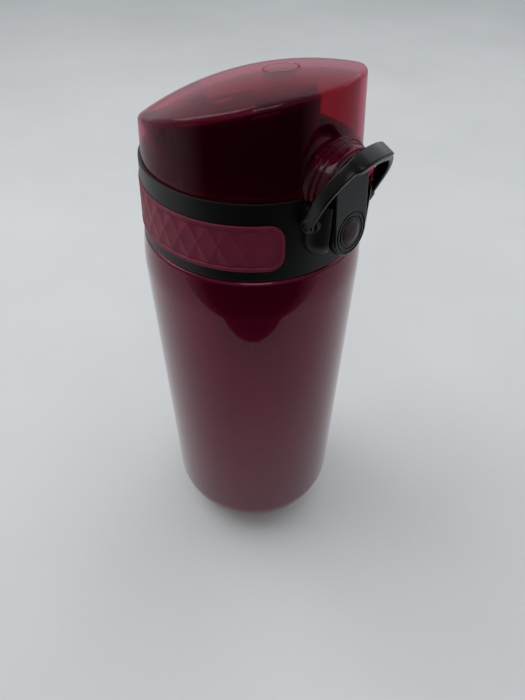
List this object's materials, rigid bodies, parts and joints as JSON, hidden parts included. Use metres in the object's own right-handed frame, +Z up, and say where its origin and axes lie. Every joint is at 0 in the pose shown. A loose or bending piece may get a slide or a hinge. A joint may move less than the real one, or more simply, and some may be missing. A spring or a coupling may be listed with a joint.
{
  "type": "water bottle",
  "caption": "Steel drinking bottle for a bicycle cage, with a screw cap, a sprung translucent flip lid over a spout, a push latch and a lock hoop.",
  "frame": {"origin": "centre of the base, on the plane it stands on", "axes": "+Z up along the bottle; the latch faces -Y and the lid's hinge is at +Y; +X completes a right-handed frame"},
  "size_m": [0.072, 0.083, 0.1979],
  "materials": {
    "body_paint": "dark burgundy metallic paint, satin to gloss",
    "black_plastic": "satin black plastic",
    "inner_plastic": "matt black plastic",
    "spout_plastic": "dark plastic, smooth",
    "grip_rubber": "maroon soft-touch rubber",
    "seal_silicone": "grey silicone",
    "lid_plastic": "glossy tinted translucent crimson plastic",
    "seal_dark": "black silicone",
    "lens_plastic": "glossy translucent red plastic",
    "steel": "plain steel wire and pins"
  },
  "bodies": {
    "bottle": {"bottle_body": "body_paint"},
    "seal_ring": {"neck_seal": "seal_silicone"},
    "cap": {"cap_insert": "inner_plastic", "collar": "black_plastic", "grip_left": "grip_rubber", "grip_right": "grip_rubber", "spout": "spout_plastic", "spout_gasket": "seal_silicone", "vent_valve": "seal_silicone", "lid_hinge_pin": "steel", "lid_spring": "steel", "latch_pin": "steel", "latch_spring": "steel", "hoop_pins": "black_plastic"},
    "lid": {"lid_shell": "lid_plastic", "seal_post": "lid_plastic", "lid_seal": "seal_dark"},
    "latch": {"latch_lever": "black_plastic", "latch_lens": "lens_plastic"},
    "hoop": {"lock_hoop": "black_plastic"}
  },
  "joints": [
    {"name": "cap_lift", "type": "slide", "parent": "bottle", "child": "seal_ring", "axis": [0, 0, 1], "range_m": [0, 0.00601]},
    {"name": "cap_turn", "type": "hinge", "parent": "seal_ring", "child": "cap", "pos_m": [0, 0, 0], "axis": [0, 0, 1], "range_deg": [0, 540]},
    {"name": "lid_hinge", "type": "hinge", "parent": "cap", "child": "lid", "pos_m": [0, 0.0352, 0.1722], "axis": [-1, 0, 0], "range_deg": [0, 120]},
    {"name": "latch_press", "type": "hinge", "parent": "cap", "child": "latch", "pos_m": [0, -0.0356, 0.1678], "axis": [1, 0, 0], "range_deg": [0, 9], "deforming": ["latch_spring"]},
    {"name": "hoop_swing", "type": "hinge", "parent": "cap", "child": "hoop", "pos_m": [0, -0.0336, 0.167], "axis": [1, 0, 0], "range_deg": [-17, 120]}
  ],
  "couplings": [
    {"joint": "cap_lift", "follows": "cap_turn", "m_per_rad": 0.00063662}
  ]
}
